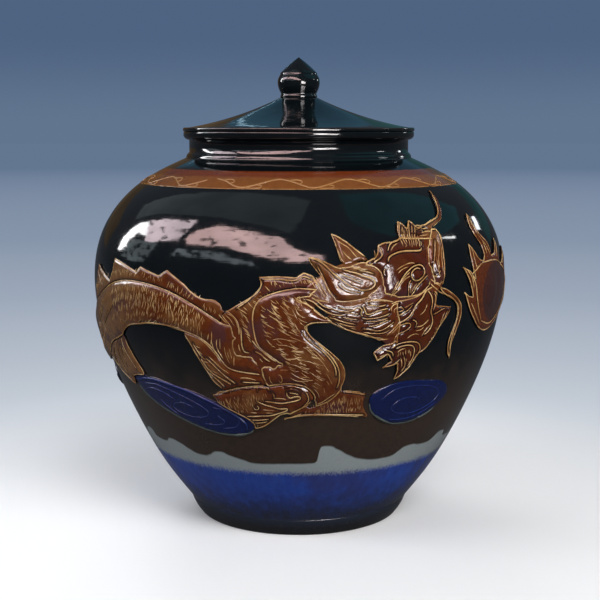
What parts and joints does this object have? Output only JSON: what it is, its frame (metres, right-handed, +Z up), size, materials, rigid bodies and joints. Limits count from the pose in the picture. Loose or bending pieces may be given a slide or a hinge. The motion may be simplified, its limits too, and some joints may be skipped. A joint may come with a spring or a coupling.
{
  "type": "lidded storage jar",
  "caption": "Large glazed stoneware storage jar with a wide belly, short neck, lift-off conical lid with a bud knob, and a dragon in low relief round the wall.",
  "frame": {"origin": "centre of the foot ring's resting plane, on the jar's axis", "axes": "+Z up along the jar's axis; -Y faces the viewer, with the dragon's chest in front; +X to the viewer's right, where the pearl is"},
  "size_m": [0.4427, 0.4448, 0.492],
  "materials": {
    "dark_glaze": "glossy near-black glaze, with a blue and grey-white band at the bottom of the wall",
    "foot_glaze": "thin dark brown-grey glaze, bare clay where it stands",
    "amber_relief": "glossy amber-brown glaze over applied clay with carved lines",
    "blue_cloud": "cobalt-blue glaze with incised swirls"
  },
  "bodies": {
    "jar": {"foot_ring": "foot_glaze", "floor_slab": "dark_glaze", "lower_wall": "dark_glaze", "upper_wall": "dark_glaze", "neck_rim": "dark_glaze", "dragon_trunk": "amber_relief", "dragon_chest": "amber_relief", "dragon_foreleg": "amber_relief", "dragon_forepaw": "amber_relief", "dragon_far_foreleg": "amber_relief", "dragon_hind_leg": "amber_relief", "dragon_skull": "amber_relief", "dragon_snout": "amber_relief", "dragon_mane": "amber_relief", "dragon_jaw": "amber_relief", "dragon_ear": "amber_relief", "dragon_horn": "amber_relief", "dragon_brow_tuft": "amber_relief", "dragon_back_crest": "amber_relief", "dragon_nape_crest": "amber_relief", "dragon_upper_whisker": "amber_relief", "dragon_lower_whisker": "amber_relief", "dragon_rear_trunk": "amber_relief", "dragon_rear_crest": "amber_relief", "dragon_rear_leg": "amber_relief", "dragon_tail": "amber_relief", "flaming_pearl": "amber_relief", "pearl_flames": "amber_relief", "cloud_left": "blue_cloud", "cloud_right": "blue_cloud", "cloud_side": "blue_cloud", "cloud_back": "blue_cloud", "cloud_far": "blue_cloud"},
    "lid": {"lid_cover": "dark_glaze", "lid_locating_ring": "dark_glaze", "lid_knob": "dark_glaze"}
  },
  "joints": [
    {"name": "lid_lift", "type": "slide", "parent": "jar", "child": "lid", "axis": [0, 0, 1], "range_m": [0, 0.15]}
  ]
}
